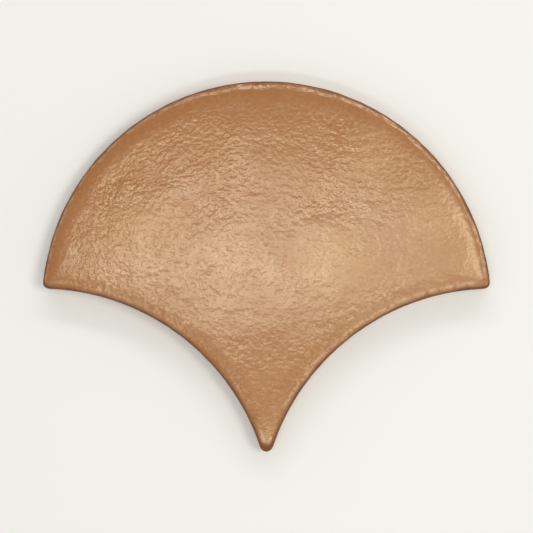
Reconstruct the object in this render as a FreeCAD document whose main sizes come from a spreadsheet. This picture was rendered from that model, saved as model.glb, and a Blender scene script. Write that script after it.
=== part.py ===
import FreeCAD, Part
import math
import os

import Sketcher

# Fish scale wall tile, in millimetres. It lies glazed face up, with the middle of its back at the origin.
# The round top is the crown, the corners under it are the shoulders, the two hollow sides are the flanks
# and the narrow bottom end is the tip. Each flank is struck from the centre of the crown that nests in it,
# one row down and half a column across, so equal tiles lie together with one even joint.
DIMENSIONS = (
    ("crown_radius", 63.8, "radius of the round top"),
    ("joint_width", 2.0, "grout joint left between a flank and the crown nested in it"),
    ("column_gap", 1.0, "gap between the crown circles of neighbours in a row"),
    ("row_pitch", 61.0, "distance from one row to the next"),
    ("shoulder_radius", 1.8, "rounding of the two shoulders, seen from the front"),
    ("tip_radius", 2.0, "rounding of the tip, seen from the front"),
    ("thickness", 9.5, "from the back to the flat of the face"),
    ("cushion_width", 6.5, "how far in from the outline the face starts to roll down"),
    ("cushion_slope", 10.0, "degrees, how steeply the face has rolled down at its edge"),
    ("arris_radius", 2.0, "rounding between the cushion and the wall"),
    ("face_shoulder_radius", 4.0, "rounding of the flat of the face at the shoulders"),
    ("face_tip_radius", 3.5, "rounding of the flat of the face at the tip"),
    ("back_chamfer", 0.6, "wiped edge round the back"),
    ("key_depth", 1.0, "depth of the mortar keys pressed into the back"),
    ("key_width", 5.0, "width of each mortar key"),
    ("key_pitch", 11.0, "distance from one mortar key to the next"),
    ("key_margin", 8.0, "plain border of the back, round the mortar keys"),
)
ROLL_STEPS = 3  # steps in which the arris and the cushion are each rolled
KEY_ROWS = range(-1, 5)  # rows of mortar keys, counted from the crown's centre

START, END, CENTRE = range(1, 4)  # how a sketch numbers the points of an arc
VERTICAL_AXIS, ORIGIN = range(-2, 0)  # and its own axis and origin

FLANK_RADIUS = "(dims.crown_radius + dims.joint_width)"
HALF_COLUMN = "(dims.crown_radius + dims.column_gap / 2)"
TIP_RISE = f"sqrt(({FLANK_RADIUS} + dims.tip_radius)^2 - {HALF_COLUMN}^2)"
TIP_REACH = f"(dims.row_pitch - {TIP_RISE} + dims.tip_radius)"
ARRIS_INSET = "(dims.arris_radius * (1 - sin(dims.cushion_slope)))"
ARRIS_RISE = "(dims.arris_radius * cos(dims.cushion_slope))"
CUSHION_RUN = f"(dims.cushion_width - {ARRIS_INSET})"
CUSHION_FALL = f"({CUSHION_RUN} * tan(dims.cushion_slope) / 2)"
WALL_TOP = f"(dims.thickness - {CUSHION_FALL} - {ARRIS_RISE})"


def add_sheet(doc):
    sheet = doc.addObject("Spreadsheet::Sheet", "dims")
    for row, (alias, value, note) in enumerate(DIMENSIONS, start=1):
        sheet.set(f"A{row}", alias)
        sheet.set(f"B{row}", str(value))
        sheet.set(f"C{row}", note)
        sheet.setAlias(f"B{row}", alias)
    doc.recompute()
    return sheet


def arc(centre, radius, start, end):
    circle = Part.Circle(centre, FreeCAD.Vector(0, 0, 1), radius)
    return Part.ArcOfCircle(circle, start, end)


def direction(start, end):
    return math.atan2(end.y - start.y, end.x - start.x)


def outline_arcs(sheet, inset, shoulder, tip):
    """The six arcs of the outline, moved in by inset, from the crown round and about the crown's centre."""
    crown = sheet.crown_radius - inset
    flank = sheet.crown_radius + sheet.joint_width + inset
    half, drop = sheet.crown_radius + sheet.column_gap / 2, sheet.row_pitch
    middle = FreeCAD.Vector(0, 0, 0)
    right, left = FreeCAD.Vector(half, -drop, 0), FreeCAD.Vector(-half, -drop, 0)
    # A shoulder's arc lies inside the crown and outside the flank, touching both.
    near, far, apart = crown - shoulder, flank + shoulder, math.hypot(half, drop)
    along = (apart**2 + near**2 - far**2) / (2 * apart)
    swing = math.acos(along / near) + math.atan2(-drop, half)
    corner = FreeCAD.Vector(near * math.cos(swing), near * math.sin(swing), 0)
    mirrored = FreeCAD.Vector(-corner.x, corner.y, 0)
    # The tip's arc lies between the flanks, touching both.
    end = FreeCAD.Vector(0, math.sqrt((flank + tip) ** 2 - half**2) - drop, 0)
    return [
        arc(middle, crown, swing, math.pi - swing),
        arc(mirrored, shoulder, math.pi - swing, direction(mirrored, left) + 2 * math.pi),
        arc(left, flank, direction(left, end), direction(left, mirrored)),
        arc(end, tip, direction(end, left) + 2 * math.pi, direction(end, right) + 2 * math.pi),
        arc(right, flank, direction(right, corner), direction(right, end)),
        arc(corner, shoulder, direction(corner, right), swing),
    ]


def constrain_outline(sketch, arcs):
    crown, left_shoulder, left_flank, tip, right_flank, right_shoulder = range(6)
    joins = (
        (crown, END, left_shoulder, START),
        (left_shoulder, END, left_flank, END),
        (left_flank, START, tip, START),
        (tip, END, right_flank, END),
        (right_flank, START, right_shoulder, START),
        (right_shoulder, END, crown, START),
    )
    for first, first_end, second, second_end in joins:
        sketch.addConstraint(Sketcher.Constraint("Tangent", first, first_end, second, second_end))
    sketch.addConstraint(Sketcher.Constraint("Coincident", crown, CENTRE, ORIGIN, START))
    mirrored = Sketcher.Constraint("Symmetric", left_flank, CENTRE, right_flank, CENTRE, VERTICAL_AXIS)
    sketch.addConstraint(mirrored)
    sketch.addConstraint(Sketcher.Constraint("Equal", left_flank, right_flank))
    sketch.addConstraint(Sketcher.Constraint("Equal", left_shoulder, right_shoulder))
    centre = arcs[right_flank].Center
    named = {
        "crown": Sketcher.Constraint("Radius", crown, arcs[crown].Radius),
        "flank": Sketcher.Constraint("Radius", right_flank, arcs[right_flank].Radius),
        "shoulder": Sketcher.Constraint("Radius", right_shoulder, arcs[right_shoulder].Radius),
        "tip": Sketcher.Constraint("Radius", tip, arcs[tip].Radius),
        "across": Sketcher.Constraint("DistanceX", ORIGIN, START, right_flank, CENTRE, centre.x),
        "down": Sketcher.Constraint("DistanceY", right_flank, CENTRE, ORIGIN, START, -centre.y),
    }
    for name, constraint in named.items():
        index = sketch.addConstraint(constraint)
        sketch.renameConstraint(index, name)


def value_of(sheet, text):
    """A size worked out from the sheet, for the first guess of a sketch."""
    return float(sheet.evalExpression(text))


def draw_outline(sketch, sheet, inset, shoulder, tip):
    """Draws the outline in a sketch, moved in by inset, with its own corner radii, all as expressions."""
    arcs = outline_arcs(sheet, value_of(sheet, inset), value_of(sheet, shoulder), value_of(sheet, tip))
    sketch.addGeometry(arcs, False)
    constrain_outline(sketch, arcs)
    bindings = {
        "crown": f"dims.crown_radius - ({inset})",
        "flank": f"{FLANK_RADIUS} + ({inset})",
        "shoulder": shoulder,
        "tip": tip,
        "across": HALF_COLUMN,
        "down": "dims.row_pitch",
    }
    for name, expression in bindings.items():
        sketch.setExpression(f"Constraints.{name}", expression)


def own_plane(body, role):
    for feature in body.Origin.OriginFeatures:
        if feature.Role == role:
            return feature
    raise LookupError(role)


def add_section(body, sheet, name, inset, height):
    """One outline of the tile at its height. Further in, its shoulders and tip are rounder."""
    sketch = body.newObject("Sketcher::SketchObject", name)
    sketch.AttachmentSupport = [(own_plane(body, "XY_Plane"), "")]
    sketch.MapMode = "FlatFace"
    share = f"({inset}) / dims.cushion_width"
    shoulder = f"dims.shoulder_radius + (dims.face_shoulder_radius - dims.shoulder_radius) * {share}"
    tip = f"dims.tip_radius + (dims.face_tip_radius - dims.tip_radius) * {share}"
    draw_outline(sketch, sheet, inset, shoulder, tip)
    sketch.setExpression("AttachmentOffset.Base.z", height)
    return sketch


def add_loft(doc, body, name, sections, ruled=False):
    loft = body.newObject("PartDesign::AdditiveLoft", name)
    loft.Profile = sections[0]
    loft.Sections = sections[1:]
    loft.Ruled = ruled
    doc.recompute()


def arris_section(body, sheet, share):
    turn = f"((90 - dims.cushion_slope) * {share:.6f})"
    inset = f"dims.arris_radius * (1 - cos({turn}))"
    height = f"{WALL_TOP} + dims.arris_radius * sin({turn})"
    return add_section(body, sheet, "arris", inset, height)


def cushion_section(body, sheet, share):
    inset = f"{ARRIS_INSET} + {CUSHION_RUN} * {share:.6f}"
    height = f"dims.thickness - {CUSHION_FALL} * {(1 - share) ** 2:.6f}"
    return add_section(body, sheet, "cushion", inset, height)


def add_blank(doc, sheet):
    """The tile before its back is keyed: wiped back edge, upright wall, rounded arris, cushioned face."""
    body = doc.addObject("PartDesign::Body", "blank")
    back = add_section(body, sheet, "back_outline", "dims.back_chamfer", "0")
    foot = add_section(body, sheet, "wall_foot", "0", "dims.back_chamfer")
    doc.recompute()
    add_loft(doc, body, "back_edge", [back, foot], ruled=True)

    wall = body.newObject("PartDesign::Pad", "wall")
    wall.Profile = foot
    wall.setExpression("Length", f"{WALL_TOP} - dims.back_chamfer")
    doc.recompute()

    shares = [step / ROLL_STEPS for step in range(ROLL_STEPS + 1)]
    add_loft(doc, body, "rounded_arris", [arris_section(body, sheet, share) for share in shares])
    add_loft(doc, body, "cushioned_face", [cushion_section(body, sheet, share) for share in shares])
    return body


def add_mortar_keys(doc, sheet):
    """Straight shallow grooves across the back that stop at a plain border."""
    border = doc.addObject("Sketcher::SketchObject", "key_border")
    draw_outline(border, sheet, "dims.key_margin", "dims.face_shoulder_radius", "dims.face_tip_radius")
    field = doc.addObject("Part::Extrusion", "key_field")
    field.Base = border
    field.DirMode = "Custom"
    field.Dir = FreeCAD.Vector(0, 0, 1)
    field.Solid = True
    field.setExpression("LengthFwd", "dims.key_depth")

    strips = []
    for row in KEY_ROWS:
        strip = doc.addObject("Part::Box", "key_strip")
        strip.setExpression("Length", "2 * dims.crown_radius")
        strip.setExpression("Width", "dims.key_width")
        strip.setExpression("Height", "dims.key_depth")
        strip.setExpression("Placement.Base.x", "-dims.crown_radius")
        strip.setExpression("Placement.Base.y", f"{row} * dims.key_pitch - dims.key_width / 2")
        strips.append(strip)
    rows = doc.addObject("Part::MultiFuse", "key_rows")
    rows.Shapes = strips

    keys = doc.addObject("Part::MultiCommon", "mortar_keys")
    keys.Shapes = [field, rows]
    doc.recompute()
    return keys


def check(doc, part):
    for item in doc.Objects:
        if {"Invalid", "Error"} & set(item.State):
            raise RuntimeError(f"{item.Name} failed: {item.State}")
    if part.Shape.isNull() or not part.Shape.isValid() or len(part.Shape.Solids) != 1:
        raise RuntimeError(f"{part.Label} is not one valid solid")


def main():
    doc = FreeCAD.newDocument("fish_scale_tile")
    sheet = add_sheet(doc)
    tile = doc.addObject("Part::Cut", "tile")
    tile.Label = "fish_scale_tile"
    tile.Base = add_blank(doc, sheet)
    tile.Tool = add_mortar_keys(doc, sheet)
    tile.setExpression("Placement.Base.y", f"({TIP_REACH} - dims.crown_radius) / 2")
    doc.recompute()
    check(doc, tile)

    os.makedirs("parts", exist_ok=True)
    tile.Shape.exportStep(f"parts/{tile.Label}.step")
    box = tile.Shape.optimalBoundingBox(False)
    print(f"{tile.Label}: {box.XLength:.2f} x {box.YLength:.2f} x {box.ZLength:.2f} mm")


main()
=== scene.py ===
import math

import bmesh
import bpy
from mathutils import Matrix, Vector


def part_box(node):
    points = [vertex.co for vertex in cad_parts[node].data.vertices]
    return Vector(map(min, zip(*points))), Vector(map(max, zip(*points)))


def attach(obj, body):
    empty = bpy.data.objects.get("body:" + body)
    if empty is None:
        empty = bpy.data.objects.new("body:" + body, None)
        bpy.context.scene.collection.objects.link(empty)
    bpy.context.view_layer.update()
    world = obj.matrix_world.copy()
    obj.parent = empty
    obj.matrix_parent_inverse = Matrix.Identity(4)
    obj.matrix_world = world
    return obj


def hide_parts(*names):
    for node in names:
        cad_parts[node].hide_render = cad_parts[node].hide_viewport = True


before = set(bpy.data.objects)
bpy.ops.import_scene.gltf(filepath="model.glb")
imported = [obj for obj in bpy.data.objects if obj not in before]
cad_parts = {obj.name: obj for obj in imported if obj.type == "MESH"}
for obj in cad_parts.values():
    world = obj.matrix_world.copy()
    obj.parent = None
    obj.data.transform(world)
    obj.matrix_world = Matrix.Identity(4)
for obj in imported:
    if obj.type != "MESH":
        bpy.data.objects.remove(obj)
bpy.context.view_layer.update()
scene = bpy.context.scene


class Sock:  # a node socket that takes part in sums, on numbers and on vectors
    def __init__(self, tree, socket=None):
        self.tree = tree
        self.socket = socket

    def node(self, kind, settings=(), sockets=(), out=0):
        made = self.tree.nodes.new(kind)
        for name, value in dict(settings).items():
            setattr(made, name, value)
        plugs = [plug for plug in made.inputs if plug.enabled]
        for name, value in dict(sockets).items():
            plug = plugs[name] if isinstance(name, int) else [p for p in plugs if p.name == name][0]
            if isinstance(value, Sock):
                self.tree.links.new(value.socket, plug)
            else:
                plug.default_value = value
        ends = [end for end in made.outputs if end.enabled]
        return Sock(self.tree, ends[out] if isinstance(out, int) and ends else made.outputs.get(str(out)))

    def sum(self, operation, first, second):
        socks = [value for value in (first, second) if isinstance(value, Sock)]
        vectors = any(sock.socket.type in {"VECTOR", "RGBA"} for sock in socks)
        if vectors:
            first, second = [(v, v, v) if isinstance(v, (int, float)) else v for v in (first, second)]
        kind = "ShaderNodeVectorMath" if vectors else "ShaderNodeMath"
        return self.node(kind, {"operation": operation}, {0: first, 1: second})

    def __add__(self, other):
        return self.sum("ADD", self, other)

    __radd__ = __add__

    def __sub__(self, other):
        return self.sum("SUBTRACT", self, other)

    def __rsub__(self, other):
        return self.sum("SUBTRACT", other, self)

    def __mul__(self, other):
        return self.sum("MULTIPLY", self, other)

    __rmul__ = __mul__

    def least(self, other):
        return self.sum("MINIMUM", self, other)

    def most(self, other):
        return self.sum("MAXIMUM", self, other)

    def size(self):
        return self.sum("MAXIMUM", self, 0 - self)

    # goes softly from start to end as the value goes from low to high
    def ease(self, low, high, start=0.0, end=1.0):
        limits = {"Value": self, "From Min": low, "From Max": high, "To Min": start, "To Max": end}
        return self.node("ShaderNodeMapRange", {"interpolation_type": "SMOOTHSTEP"}, limits)

    def noise(self, grain, detail=2.0, rough=0.5, out=0):  # grain is in metres
        values = {"Vector": self, "Scale": 1 / grain, "Detail": detail, "Roughness": rough}
        return self.node("ShaderNodeTexNoise", {}, values, out)

    def part(self, letter):
        return self.node("ShaderNodeSeparateXYZ", {}, {0: self}, letter)

    def reach(self, point):
        return self.node("ShaderNodeVectorMath", {"operation": "DISTANCE"}, {0: self, 1: point}, "Value")

    def bump(self):  # from heights in metres
        return self.node("ShaderNodeBump", {}, {"Strength": 1.0, "Distance": 1.0, "Height": self})

    def blend(self, first, second):  # colours, by this value
        return self.node("ShaderNodeMix", {"data_type": "RGBA"}, {"Factor": self, "A": first, "B": second})


tile = {
    "crownRadius": 0.0638,
    "jointWidth": 0.002,  # so much larger is a flank's radius than the crown's
    "columnGap": 0.001,
    "rowPitch": 0.061,
    "shoulderRadius": 0.0018,
    "tipRadius": 0.002,
    "faceShoulderRadius": 0.004,
    "faceTipRadius": 0.0035,
    "cushionWidth": 0.0065,
    "cushionSlope": math.radians(10),
    "arrisRadius": 0.002,
    "backChamfer": 0.0006,
    "keyDepth": 0.001,
    "keyWidth": 0.005,
    "keyPitch": 0.011,
    "keyMargin": 0.008,
    "keyRows": range(-1, 5),
    "keyStrip": (0.2, 0.004),  # length and height of what cuts a row, past the tile's sides and back
    "arcSteps": (80, 8, 60, 8),  # on crown, shoulder, flank and tip
    "arrisSteps": 3,
    "cushionSteps": 8,
    "weld": 1e-6,  # points nearer than this are one
    "grain": 0.00039,  # size of the finished mesh's faces
    "backShare": 0.03,  # of the back's faces, how many are kept
    "smoothAngle": math.radians(35),
}
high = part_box("fish_scale_tile")[1]
thickness = high[2]
crownY = high[1] - tile["crownRadius"]
flankX = tile["crownRadius"] + tile["columnGap"] / 2
flankY = crownY - tile["rowPitch"]
flankRadius = tile["crownRadius"] + tile["jointWidth"]
arrisInset = tile["arrisRadius"] * (1 - math.sin(tile["cushionSlope"]))
cushionRun = tile["cushionWidth"] - arrisInset
cushionFall = cushionRun * math.tan(tile["cushionSlope"]) / 2
wallTop = thickness - cushionFall - tile["arrisRadius"] * math.cos(tile["cushionSlope"])


def newPiece(name):
    bpy.ops.object.select_all(action="DESELECT")
    bpy.ops.mesh.primitive_plane_add(size=0.001)
    piece = bpy.context.object
    piece.name = name
    bpy.ops.object.mode_set(mode="EDIT")
    bpy.ops.mesh.select_mode(type="VERT")
    bpy.ops.mesh.delete(type="VERT")
    return piece


def applyModifier(piece, kind, **settings):
    bpy.context.view_layer.objects.active = piece
    modifier = piece.modifiers.new(kind.lower(), kind)
    for name, value in settings.items():
        setattr(modifier, name, value)
    bpy.ops.object.modifier_apply(modifier=modifier.name)


def halfOutline(inset, height):  # right half, from the top of the crown to the end of the tip
    share = inset / tile["cushionWidth"]
    shoulder = tile["shoulderRadius"] + (tile["faceShoulderRadius"] - tile["shoulderRadius"]) * share
    tip = tile["tipRadius"] + (tile["faceTipRadius"] - tile["tipRadius"]) * share
    crown = tile["crownRadius"] - inset
    flank = flankRadius + inset
    away = math.hypot(flankX, tile["rowPitch"])
    near = crown - shoulder
    forward = (away**2 + near**2 - (flank + shoulder) ** 2) / (2 * away)
    swing = math.acos(forward / near) - math.atan2(tile["rowPitch"], flankX)
    cornerX, cornerY = near * math.cos(swing), crownY + near * math.sin(swing)
    tipY = flankY + math.sqrt((flank + tip) ** 2 - flankX**2)
    down = math.atan2(cornerY - flankY, cornerX - flankX)  # seen from the flank's centre
    inward = math.atan2(tipY - flankY, -flankX)
    bpy.ops.mesh.select_all(action="DESELECT")
    bpy.ops.mesh.primitive_plane_add(size=0.001, location=(0, crownY + crown, height))
    bpy.ops.mesh.merge(type="CENTER")
    arcs = (
        (math.pi / 2 - swing, (0, crownY), 1),
        (swing - down + math.pi, (cornerX, cornerY), 1),
        (inward - down, (flankX, flankY), -1),
        (inward - math.pi / 2, (0, tipY), 1),
    )
    for steps, (angle, (x, y), side) in zip(tile["arcSteps"], arcs):
        bpy.ops.mesh.spin(steps=steps, angle=angle, center=(x, y, height), axis=(0, 0, side))


def bridgeHeights(heights):
    mesh = bmesh.from_edit_mesh(bpy.context.object.data)
    bpy.ops.mesh.select_all(action="DESELECT")
    for edge in mesh.edges:
        edge.select = all(min(abs(v.co.z - h) for h in heights) < tile["weld"] for v in edge.verts)
    bpy.ops.mesh.bridge_edge_loops()


def closePiece(piece):  # mirrors the half, fills both ends
    bpy.ops.object.mode_set(mode="OBJECT")
    applyModifier(piece, "MIRROR", use_clip=True, merge_threshold=tile["weld"])
    bpy.ops.object.mode_set(mode="EDIT")
    bpy.ops.mesh.select_mode(type="VERT")
    bpy.ops.mesh.select_all(action="SELECT")
    bpy.ops.mesh.remove_doubles(threshold=tile["weld"])
    bpy.ops.mesh.fill_holes(sides=0)
    bpy.ops.mesh.normals_make_consistent(inside=False)
    bpy.ops.object.mode_set(mode="OBJECT")


def loftHalf(piece, sections):
    for inset, height in sections:
        halfOutline(inset, height)
    for below, above in zip(sections, sections[1:]):
        bridgeHeights((below[1], above[1]))
    closePiece(piece)


def shapeTile():
    sections = [(tile["backChamfer"], 0.0), (0.0, tile["backChamfer"])]
    for step in range(tile["arrisSteps"] + 1):
        turn = (math.pi / 2 - tile["cushionSlope"]) * step / tile["arrisSteps"]
        inset = tile["arrisRadius"] * (1 - math.cos(turn))
        sections.append((inset, wallTop + tile["arrisRadius"] * math.sin(turn)))
    for step in range(1, tile["cushionSteps"] + 1):
        share = step / tile["cushionSteps"]
        sections.append((arrisInset + cushionRun * share, thickness - cushionFall * (1 - share) ** 2))
    piece = newPiece("glazedTile")
    loftHalf(piece, sections)
    return piece


def keyBack(piece):  # shallow straight grooves that the mortar grips
    field = newPiece("keyField")
    loftHalf(field, [(tile["keyMargin"], -tile["keyDepth"]), (tile["keyMargin"], tile["keyDepth"])])
    strips = newPiece("keyStrips")
    length, tall = tile["keyStrip"]
    for row in tile["keyRows"]:
        place = (0, crownY + row * tile["keyPitch"], 0)
        bpy.ops.mesh.primitive_cube_add(size=1, location=place, scale=(length, tile["keyWidth"], tall))
    bpy.ops.object.mode_set(mode="OBJECT")
    applyModifier(field, "BOOLEAN", object=strips, operation="INTERSECT", solver="EXACT")
    applyModifier(piece, "BOOLEAN", object=field, operation="DIFFERENCE", solver="MANIFOLD")
    for helper in (field, strips):
        bpy.data.objects.remove(helper)


relief = {  # lengths in metres
    "dome": (0.050, 0.00035),  # how far the face falls from its middle towards crown and tip
    "domeMiddle": (0, 0.004, 0),
    "domeStretch": (0.5, 1, 0),  # it falls less sideways
    "roll": (0.028, 0.00040),  # and more towards the crown
    "tipRoll": (-0.005, 0.037, 0.00038),  # and, from that height down, towards the tip
    "presses": (  # place, reach and strength of hollows, and of humps where the strength is negative
        (0.015, 0.020, 0.014, 0.9),
        (-0.009, 0.020, 0.014, 1.0),
        (0.001, -0.035, 0.020, 2.2),
        (-0.043, 0.024, 0.012, 0.9),
        (0.019, 0.002, 0.017, -1.4),
        (0.029, 0.033, 0.011, -1.2),
        (-0.037, 0.009, 0.018, -1.1),
        (0.045, 0.013, 0.011, -0.7),
        (-0.026, 0.010, 0.010, -0.5),
        (0.006, -0.003, 0.010, -0.4),
    ),
    "pressDepth": 0.00014,
    "flankFill": (0.0078, 0.0030, 0.00016),  # how much fuller the left flank's cushion is, from so far in
    "flankFillSide": (-0.012, -0.030),  # where along the tile that begins and is full
    # each layer has its grain, depth, seed and detail
    "swell": (0.028, 0.00032, 0.3, 1.0),
    "lump": (0.0075, 0.00005, 0.7, 2.0),
    "crumple": (0.0023, 0.000125, 0.1, 1.0),
    "stroke": (0.0012, 0.00009, 0.9, 1.0),
    "pebble": (0.0012, 0.00008, 0.6, 1.0),
    "worn": (0.0036, 0.00030, 0.4, 3.0),  # unevenness of the arris
    "wornRim": (0.0035, 0.0005),  # from the edge, where that begins and is full
    "lumpRim": (0.012, 0.004, 5.0),  # how much more lump there is from so far in to so near the crown's edge
    "lumpRight": (0.030, 0.046, 1, 0.2),  # and how little of that on the right
    "strokeLength": 1.35,  # along it, for each unit across
    "strokeCentre": (-0.008, 0.002, 0),  # the strokes go round it
    "strokeReach": 0.038,  # so far from it they have the grain given above
    "sway": (0.014, 0.005),  # how far the strokes wander
    "patch": (0.012, 0.55),  # grain of the wrinkled patches, and how strong wrinkles are between them
    "zones": (  # place, from where to where the wrinkles change, their strength within and beyond
        (-0.040, 0.014, 0.014, 0.044, 1.45, 1.05),
        (0.050, 0.006, 0.008, 0.030, 0.6, 1),
        (0, -0.024, 0.005, 0.016, 0.55, 1),
        (0.002, 0.046, 0.006, 0.022, 0.4, 1),
        (-0.060, 0.001, 0.003, 0.012, 0.5, 1),
    ),
    "crownRim": (0.0005, 0.0110),  # from the edge, where the wrinkles begin and are full
    "crownRimRight": (0, 0.040, 0, 0.002),  # and how much nearer on the right
    "flankRim": (0.0, 0.0028),
    "foot": 0.003,  # below this height the wall stays as it is
}


def crownDistance(flat):
    return tile["crownRadius"] - flat.reach((0, crownY, 0))


def flankDistance(flat):
    left = flat.reach((-flankX, flankY, 0))
    return left.least(flat.reach((flankX, flankY, 0))) - flankRadius


def wrinkleStrength(flat):  # strong on the left, calm on the right, in the tip, at the top and at the edges
    grain, least = relief["patch"]
    strength = (flat + (0.2, 0.1, 0)).noise(grain, 2.0).ease(0.36, 0.60, least, 1)
    for x, y, near, far, within, beyond in relief["zones"]:
        strength = strength * flat.reach((x, y, 0)).ease(near, far, within, beyond)
    crown = crownDistance(flat) + flat.part("X").ease(*relief["crownRimRight"])
    return strength * (crown.ease(*relief["crownRim"]) * flankDistance(flat).ease(*relief["flankRim"]))


def around(flat, radius, stretch):  # how far along a circle round the origin, and how far out
    turn = flat.sum("ARCTAN2", flat.part("X"), flat.part("Y")) * (radius / stretch)
    return flat.node("ShaderNodeCombineXYZ", {}, {"X": turn, "Y": flat.reach((0, 0, 0))})


# packs the strokes closer outwards: round their centre on the left, up and down on the right
def along(flat):
    grain, far = relief["sway"]
    swayed = flat + (flat.noise(grain, 1.0, out="Color") - 0.5) * far - relief["strokeCentre"]
    level = swayed.most(0) * (1, 0, 0)
    swirl = swayed - level
    out = swirl.reach((0, 0, 0)) * (1 / relief["strokeReach"])
    packed = swirl * out.sum("POWER", out, relief["strokeLength"] - 1)
    return packed + level * (1 / relief["strokeLength"])


def layer(flat, name):
    grain, depth, seed, detail = relief[name]
    return (flat + (seed, 2 * seed, 0)).noise(grain, detail) * depth


def presses(flat):
    deep = 0
    for x, y, reach, strength in relief["presses"]:
        far = flat.reach((x, y, 0)) * (1 / reach)
        bowl = (1 - far * far).most(0)
        deep = bowl * bowl * strength + deep
    return deep


def faceDepth(flat):
    reach, fall = relief["dome"]
    dome = (flat * relief["domeStretch"]).reach(relief["domeMiddle"]) * (1 / reach)
    width, drop = relief["roll"]
    roll = ((width - crownDistance(flat)) * (1 / width)).most(0)
    inner, outer, more = relief["lumpRim"]
    rim = crownDistance(flat).ease(inner, outer, 0, more - 1) * flat.part("X").ease(*relief["lumpRight"])
    lump = layer(flat, "lump") * (rim + 1)
    swell = layer(flat, "swell") + lump
    crumple = layer(along(flat), "crumple") * wrinkleStrength(flat)
    top, length, sink = relief["tipRoll"]
    tip = ((top - flat.part("Y")) * (1 / length)).most(0)
    pressed = presses(flat) * relief["pressDepth"]
    inside, outside, full = relief["flankFill"]
    filled = flankDistance(flat).ease(inside, outside, 0, full)
    filled = filled * flat.part("X").ease(*relief["flankFillSide"])
    return dome * dome * fall + roll * roll * drop + tip * tip * sink + pressed + swell + crumple - filled


def pressFace(piece):  # keeps each point's height from before as an attribute, for the glaze
    group = bpy.data.node_groups.new("pressedFace", "GeometryNodeTree")
    group.interface.new_socket("Geometry", in_out="INPUT", socket_type="NodeSocketGeometry")
    group.interface.new_socket("Geometry", in_out="OUTPUT", socket_type="NodeSocketGeometry")
    start = Sock(group)
    shape = start.node("NodeGroupInput")
    place = start.node("GeometryNodeInputPosition")
    normal = start.node("GeometryNodeInputNormal")
    height = place.part("Z")
    flat = place * (1, 1, 0)
    upper = height.ease(relief["foot"], wallTop)
    rim = crownDistance(flat).least(flankDistance(flat)).ease(*relief["wornRim"])
    down = start.node("ShaderNodeCombineXYZ", {}, {"Z": 0 - faceDepth(flat) * upper})
    worn = normal * (0 - layer(place, "worn") * rim * upper)
    marked = {"Geometry": shape, "Name": "rise", "Value": height}
    shape = start.node("GeometryNodeStoreNamedAttribute", {"data_type": "FLOAT", "domain": "POINT"}, marked)
    shape = start.node("GeometryNodeSetPosition", {}, {"Geometry": shape, "Offset": down + worn})
    start.node("NodeGroupOutput", {}, {"Geometry": shape})
    applyModifier(piece, "NODES", node_group=group)


def thinBack(piece):  # the flat back, all that looks straight down, needs no small faces
    bpy.context.view_layer.objects.active = piece
    bpy.ops.object.mode_set(mode="EDIT")
    bpy.ops.mesh.select_mode(type="FACE")
    bpy.ops.mesh.select_all(action="DESELECT")
    mesh = bmesh.from_edit_mesh(piece.data)
    for face in mesh.faces:
        face.select = face.normal.z < -0.9999
    bmesh.update_edit_mesh(piece.data)
    bpy.ops.mesh.decimate(ratio=tile["backShare"])
    bpy.ops.object.mode_set(mode="OBJECT")


body = shapeTile()
print("tile shaped", len(body.data.vertices), [round(1000 * side, 2) for side in body.dimensions])
applyModifier(body, "REMESH", mode="VOXEL", voxel_size=tile["grain"], use_smooth_shade=True)
applyModifier(body, "SMOOTH", factor=0.5, iterations=3)
print("tile remeshed", len(body.data.polygons))
thinBack(body)
print("back thinned", len(body.data.polygons))
pressFace(body)
keyBack(body)
bpy.ops.object.select_all(action="DESELECT")
body.select_set(True)
bpy.ops.object.shade_smooth_by_angle(angle=tile["smoothAngle"])
print("tile pressed", len(body.data.polygons), sum(len(p.vertices) - 2 for p in body.data.polygons))


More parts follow.
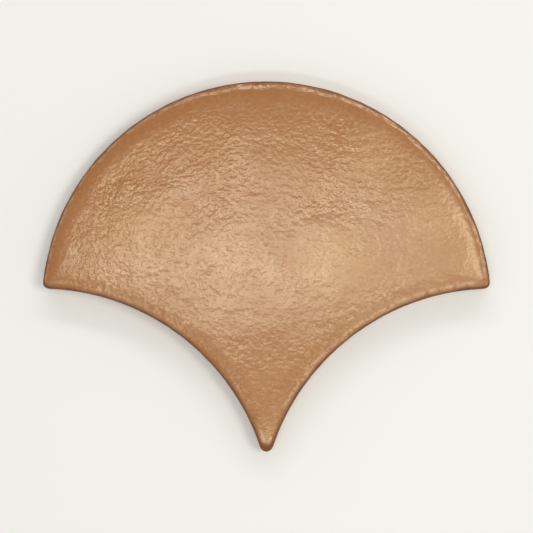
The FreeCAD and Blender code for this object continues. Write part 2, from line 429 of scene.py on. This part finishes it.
glaze = {  # lengths in metres
    "bronze": (0.42, 0.204, 0.09, 1),
    "deep": (0.362, 0.139, 0.040, 1),  # darker tone: random clouds and mottle, and painted shade along the crown's edge, towards the top and tail, and in the hollows
    "peak": (0.54, 0.30, 0.135, 1),  # paler tone: random mottle, and painted highlight on humps and a little over each wrinkle's crest
    "thinAndHighlit": (0.72, 0.48, 0.31, 1),  # pale over the arris, where it runs thin, and there also a painted highlight
    "metal": 0.03,
    "rough": (0.24, 0.29),
    "index": 1.66,
    "gleam": (1, 0.99, 0.83, 1),  # tint of what it mirrors
    "cloud": (0.016, 0.4),  # grain of its broad clouds, and how much it pools in them
    "crownShade": (0.040, 0.006, 0, 0.8),  # painted shade, from so far in to so near the crown's edge
    "crownShadeRight": (0.010, 0.045, 1, 0.35),  # with less of that on the right
    "tailShade": (-0.006, -0.024, 0, 0.85),  # painted shade between these heights, towards the tail here and towards the top below
    "topShade": (0.020, 0.036, 0, 0.45),
    "hollowShade": 0.45,  # painted shade in a hollow of strength 1
    "humpHighlight": 0.35,  # painted highlight on such a hump
    "crestHighlight": (0.53, 0.35, 0.4),  # painted highlight on the wrinkles' crests: where in a wrinkle's depth it begins to pale and is palest, and how pale
    "mottle": (0.0012, 0.3, 0.2),  # grain, how much deeper and how much paler
    "wander": (0.006, 0.0014),  # how far its edge lines stray
    "edgeLine": 0.0010,  # from the crown's edge
    "edgeLineRight": (0.012, 0.032, 0.0009, 0.0004),  # and how much further in where it flakes
    "edgeLineWidth": (0.0006, 0.0001),  # from its middle, where it fades out and is full
    "edgeLineStrength": (0.35, 0.9),  # where it only thins, and where it flakes
    "flakeSide": (-0.024, -0.010),  # from left to right, where the flakes begin and are full
    "flake": 0.0012,
    "flakeDepth": 0.00025,
    "chipEdge": (0.0003, -0.0003),
    # dark specks among the flakes: chipped clay, partly painted shade where the chipped arris falls away
    "chipDark": (0.50, 0.62, 0, 0.7),
    "chipPale": (0.46, 0.36, 0, 0.8),
    "gaps": (0.012, 0.2),  # grain of the breaks in the edge lines, and what is left in them
    "lip": (0.0017, 0.0009, 0.0002),  # pale line along the flanks, glaze thinning with a painted highlight: how far in, and its width as above
    "lipSide": (-0.020, 0.010, 0.15, 0.5),  # its strength on the left and on the right
    "grit": (0.0010, 0.000065),
    "soakedAndShaded": (0.0017, 0.0009),  # above the wall, where it begins to soak in and is soaked in; on the arris's lower half this darkening is partly painted shade
    "wall": (0.17, 0.062, 0.028, 1),  # below the arris, where it has soaked into the clay; also on the arris's lower half, partly as painted shade
    "wallThin": (0.24, 0.092, 0.038, 1),
    "wallWear": 0.005,
}
clay = {
    "bare": (0.43, 0.22, 0.130, 1),
    "smoked": (0.34, 0.155, 0.085, 1),
    "grog": (0.16, 0.085, 0.055, 1),
    "height": (0.0041, 0.0036),  # where the wall begins to be bare and is bare
    "wander": (0.007, 0.003),  # how far that line strays
    "smokeGrain": 0.017,
    "grogGrain": 0.0013,
    "fine": (0.0011, 0.00007),
    "coarse": (0.009, 0.0002),
    "rough": (0.5, 0.85),  # of the wall and of the clay
    "gloss": 0.12,
}


def pooledColour(flat, cloud):  # darker in random clouds, painted shade along the crown's edge, towards top and tail and in the hollows, painted highlight on the humps
    x, y = flat.part("X"), flat.part("Y")
    hollow = presses(flat)
    # painted shade: a band along the crown's edge, weaker on the right, and towards the tail and the top
    band = crownDistance(flat).ease(*glaze["crownShade"]) * x.ease(*glaze["crownShadeRight"])
    cloudsAndShade = cloud.ease(0.35, 0.65, 0, glaze["cloud"][1]) + band
    cloudsAndShade = cloudsAndShade + y.ease(*glaze["tailShade"]) + y.ease(*glaze["topShade"])
    # painted shade in the hollows, and below it a painted highlight on the humps
    colour = (cloudsAndShade + hollow.most(0) * glaze["hollowShade"]).blend(glaze["bronze"], glaze["deep"])
    return (0 - hollow.least(0) * glaze["humpHighlight"]).blend(colour, glaze["peak"])


def mottledColour(colour, place, strokes, strength):  # painted highlight on each wrinkle's crest, and finely mottled
    depth = relief["stroke"][1] + relief["pebble"][1]
    begin, full, most = glaze["crestHighlight"]
    # painted highlight over each wrinkle's crest
    crestHighlight = strokes.ease(begin * depth, full * depth, 0, most) * strength.least(1)
    colour = crestHighlight.blend(colour, glaze["peak"])
    grain, dark, pale = glaze["mottle"]
    mottle = place.noise(grain, 3.0)
    colour = mottle.ease(0.50, 0.70, 0, dark).blend(colour, glaze["deep"])
    return mottle.ease(0.50, 0.30, 0, pale).blend(colour, glaze["peak"])


def wornEdges(colour, flat, wander):  # flaky line on the crown's arris, finer line on the flanks: thinning glaze with a painted highlight along them, and dark chips that are partly painted shade
    x = flat.part("X")
    grain, left = glaze["gaps"]
    broken = (flat + (0.8, 0, 0)).noise(grain, 1.0).ease(0.36, 0.52, left, 1)
    flakes = around(flat - (0, crownY, 0), tile["crownRadius"], 2.0).noise(glaze["flake"], 3.0, 0.6)
    right = x.ease(*glaze["flakeSide"])
    ragged = crownDistance(flat) + wander * 1.2 - right * x.ease(*glaze["edgeLineRight"]) - glaze["edgeLine"]
    thinAndHighlit = ragged.size().ease(*glaze["edgeLineWidth"]) * flakes.ease(0.42, 0.60)
    thinAndHighlit = thinAndHighlit * right.ease(0, 1, *glaze["edgeLineStrength"])
    chipped = ragged.ease(*glaze["chipEdge"]) * right
    colour = (chipped * flakes.ease(*glaze["chipDark"])).blend(colour, glaze["wallThin"])
    colour = (chipped * flakes.ease(*glaze["chipPale"]) * broken).blend(colour, glaze["thinAndHighlit"])
    # painted highlight along the crown's arris, over the thinning glaze
    colour = thinAndHighlit.blend(colour, glaze["thinAndHighlit"])
    inset, fade, full = glaze["lip"]
    lip = (flankDistance(flat) + wander * 0.7 - inset).size().ease(fade, full) * flakes.ease(0.32, 0.60)
    colour = (lip * broken * x.ease(*glaze["lipSide"])).blend(colour, glaze["thinAndHighlit"])
    return colour, chipped * flakes * glaze["flakeDepth"]


def grains(place, values, detail):
    grain, depth = values
    return place.noise(grain, detail) * depth


def unglazedSides(place, rise):  # the soaked wall, and bare clay from there round the back; the dark lower half of the arris here is partly painted shade
    bare = (rise + grains(place, clay["wander"], 3.0)).ease(*clay["height"])
    worn = (place * (1, 1, 0.7)).noise(glaze["wallWear"], 4.0).ease(0.40, 0.68)
    fired = place.noise(clay["smokeGrain"], 3.0).ease(0.35, 0.65).blend(clay["bare"], clay["smoked"])
    fired = place.noise(clay["grogGrain"], 2.0).ease(0.66, 0.74, 0, 0.8).blend(fired, clay["grog"])
    return {
        "Base Color": bare.blend(worn.blend(glaze["wall"], glaze["wallThin"]), fired),
        "Roughness": bare.ease(0, 1, *clay["rough"]),
        "Normal": (grains(place, clay["fine"], 3.0) + grains(place, clay["coarse"], 2.0)).bump(),
        "Specular IOR Level": clay["gloss"],
    }


def glazeMaterial():
    material = bpy.data.materials.new("bronzeGlaze")
    material.use_nodes = True
    tree = material.node_tree
    tree.nodes.clear()
    start = Sock(tree)
    place = start.node("ShaderNodeTexCoord", {}, {}, "Object")
    rise = start.node("ShaderNodeAttribute", {"attribute_name": "rise"}, {}, "Fac")
    flat = place * (1, 1, 0)
    cloud = (flat + (0.5, 0.2, 0)).noise(glaze["cloud"][0], 3.0)
    strength = wrinkleStrength(flat)
    strokes = layer(along(flat), "stroke") + layer(flat, "pebble")
    grain, far = glaze["wander"]
    wander = (flat.noise(grain, 2.0) - 0.5) * far
    colour = mottledColour(pooledColour(flat, cloud), place, strokes, strength)
    colour, chips = wornEdges(colour, flat, wander)
    above, below = glaze["soakedAndShaded"]
    # dark lower half of the arris: soaked clay, partly painted shade at the edge
    soakedAndShaded = (rise + wander * 0.4).ease(wallTop + above, wallTop + below)
    face = {
        "Base Color": soakedAndShaded.blend(colour, glaze["wall"]),
        "Roughness": cloud.ease(0.3, 0.7, *glaze["rough"]),
        "Metallic": glaze["metal"],
        "Normal": (grains(place, glaze["grit"], 2.0) - strokes * strength - chips).bump(),
        "IOR": glaze["index"],
        "Specular Tint": glaze["gleam"],
    }
    glazed = start.node("ShaderNodeBsdfPrincipled", {}, face)
    unglazed = start.node("ShaderNodeBsdfPrincipled", {}, unglazedSides(place, rise))
    shader = start.node("ShaderNodeMixShader", {}, {0: soakedAndShaded, 1: glazed, 2: unglazed})
    start.node("ShaderNodeOutputMaterial", {}, {"Surface": shader})
    return material


body.data.materials.clear()
body.data.materials.append(glazeMaterial())
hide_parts("fish_scale_tile")
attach(body, "root")
print("tile glazed")


studio = {
    "floor": (0.88, 0.88, 0.87, 1),
    "floorRough": 0.9,
    "floorSize": 6,
    "world": 0.43,
    "frameWidth": 0.150,
    "distance": 0.5,
    "sensor": 36,
    "lights": (  # name, place, target, size, watts and colour
        ("keySoftbox", (-0.066, 0.006, 1.0), (-0.066, 0.006, 0), (0.38, 0.06), 1.37, (1, 0.985, 0.93)),
        ("rimSoftbox", (0.47, 0.01, 1.0), (0.47, 0.01, 0), (0.36, 0.36), 3.05, (1, 0.97, 0.81)),
        ("frontSoftbox", (0.0, -0.48, 0.97), (0, 0, 0), (0.6, 0.14), 1.65, (1, 0.98, 0.90)),
        ("crownSoftbox", (0.1, 0.95, 0.75), (0, 0, 0), (1.4, 0.16), 3.2, (1, 1, 1)),
        ("sideSoftbox", (0.55, -0.05, 0.95), (0, -0.05, 0), (0.6, 0.25), 0.3, (1, 1, 1)),
    ),
}


def makeFloor():
    bpy.ops.object.select_all(action="DESELECT")
    bpy.ops.mesh.primitive_plane_add(size=studio["floorSize"])
    floor = bpy.context.object
    floor.name = "paleFloor"
    material = bpy.data.materials.new("paleFloor")
    material.use_nodes = True
    sockets = material.node_tree.nodes["Principled BSDF"].inputs
    sockets["Base Color"].default_value = studio["floor"]
    sockets["Roughness"].default_value = studio["floorRough"]
    floor.data.materials.append(material)


def softLight(name, place, target, size, watts, colour):
    bpy.ops.object.light_add(type="AREA", location=place)
    lamp = bpy.context.object
    lamp.name = name
    lamp.data.shape = "RECTANGLE"
    lamp.data.size, lamp.data.size_y = size
    lamp.data.energy = watts
    lamp.data.color = colour
    lamp.rotation_euler = (Vector(target) - Vector(place)).to_track_quat("-Z", "Y").to_euler()


makeFloor()
for light in studio["lights"]:
    softLight(*light)

world = bpy.data.worlds.new("studio")
world.use_nodes = True
world.node_tree.nodes["Background"].inputs["Color"].default_value = (1, 1, 1, 1)
world.node_tree.nodes["Background"].inputs["Strength"].default_value = studio["world"]
scene.world = world
scene.view_settings.view_transform = "Standard"

bpy.ops.object.camera_add(location=(0, 0, studio["distance"]), rotation=(0, 0, 0))
camera = bpy.context.object
camera.data.sensor_width = studio["sensor"]
camera.data.lens = studio["sensor"] * (studio["distance"] - thickness) / studio["frameWidth"]
scene.camera = camera
print("studio set")
